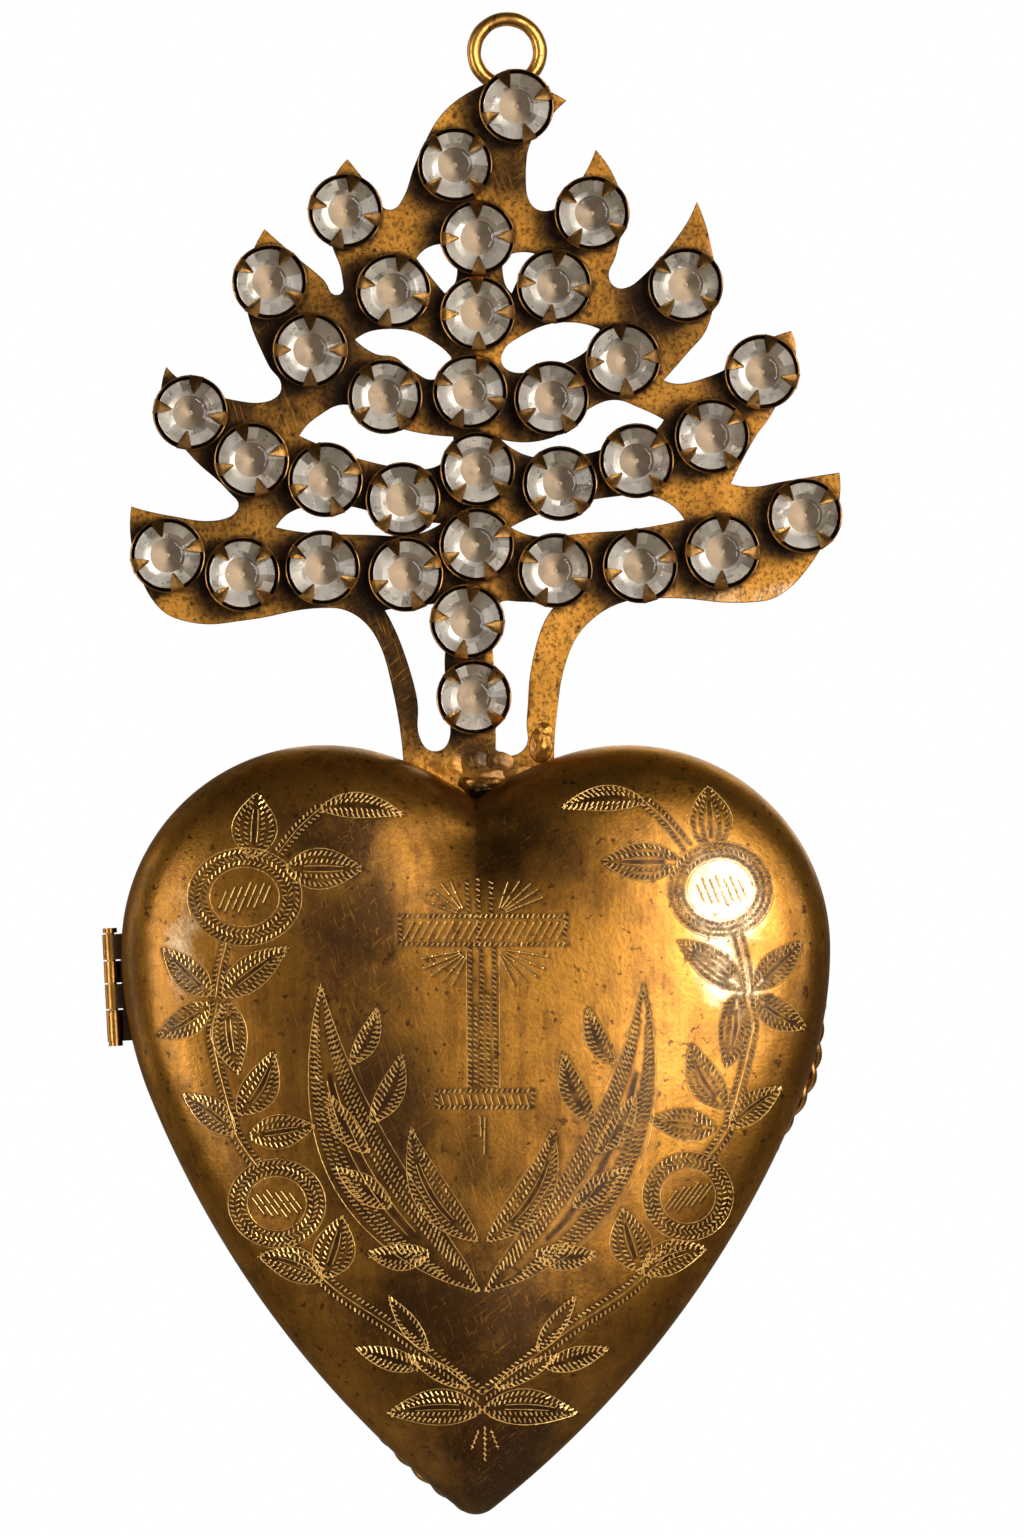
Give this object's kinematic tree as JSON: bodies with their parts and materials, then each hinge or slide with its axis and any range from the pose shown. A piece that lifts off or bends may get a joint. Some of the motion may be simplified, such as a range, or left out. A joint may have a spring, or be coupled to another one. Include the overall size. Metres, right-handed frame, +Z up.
{
  "type": "votive heart locket",
  "caption": "Hinged domed brass heart locket with chased flowers under a pierced flame crest of claw-set clear glass stones, hung by a wire ring at the top.",
  "frame": {"origin": "centre of the hanging ring", "axes": "+Z up, from the heart's tip to the ring; -Y is the front, where the stones and the lid face; +X is to the right as seen from the front"},
  "size_m": [0.0782, 0.0213, 0.1591],
  "materials": {
    "heart_brass": "antiqued, chased and burnished",
    "liner_brass": "plain sheet, dull",
    "border_brass": "twisted wire, darkened in the grooves",
    "hinge_brass": "plain, worn",
    "crest_brass": "antiqued sheet, lightly pitted",
    "setting_brass": "polished edges, dark sides",
    "ring_brass": "worn wire",
    "solder": "rough, greyed",
    "stone_glass": "clear faceted glass, foiled behind"
  },
  "bodies": {
    "back_half": {"back_shell": "heart_brass", "rope_border": "border_brass", "back_hinge_leaf": "hinge_brass", "hinge_pin": "hinge_brass", "crest_plate": "crest_brass", "hanging_ring": "ring_brass", "foot_solder": "solder", "settings_stem": "setting_brass", "settings_top": "setting_brass", "settings_lower_left": "setting_brass", "settings_lower_right": "setting_brass", "settings_second_left": "setting_brass", "settings_second_right": "setting_brass", "settings_third_left": "setting_brass", "settings_third_right": "setting_brass", "settings_fourth_left": "setting_brass", "settings_fourth_right": "setting_brass", "stone_stem_1": "stone_glass", "stone_stem_2": "stone_glass", "stone_stem_3": "stone_glass", "stone_stem_4": "stone_glass", "stone_stem_5": "stone_glass", "stone_stem_6": "stone_glass", "stone_stem_7": "stone_glass", "stone_top_1": "stone_glass", "stone_top_2": "stone_glass", "stone_lower_left_1": "stone_glass", "stone_lower_left_2": "stone_glass", "stone_lower_left_3": "stone_glass", "stone_lower_left_4": "stone_glass", "stone_lower_right_1": "stone_glass", "stone_lower_right_2": "stone_glass", "stone_lower_right_3": "stone_glass", "stone_lower_right_4": "stone_glass", "stone_second_left_1": "stone_glass", "stone_second_left_2": "stone_glass", "stone_second_left_3": "stone_glass", "stone_second_left_4": "stone_glass", "stone_second_right_1": "stone_glass", "stone_second_right_2": "stone_glass", "stone_second_right_3": "stone_glass", "stone_second_right_4": "stone_glass", "stone_third_left_1": "stone_glass", "stone_third_left_2": "stone_glass", "stone_third_left_3": "stone_glass", "stone_third_right_1": "stone_glass", "stone_third_right_2": "stone_glass", "stone_third_right_3": "stone_glass", "stone_fourth_left_1": "stone_glass", "stone_fourth_left_2": "stone_glass", "stone_fourth_right_1": "stone_glass", "stone_fourth_right_2": "stone_glass"},
    "lid": {"front_shell": "heart_brass", "lid_liner": "liner_brass", "lid_hinge_leaf": "hinge_brass"}
  },
  "joints": [
    {"name": "lid_hinge", "type": "hinge", "parent": "back_half", "child": "lid", "pos_m": [-0.04174, -0.0017, -0.09917], "axis": [0.0523, 0, -0.9986], "range_deg": [0, 175]}
  ]
}
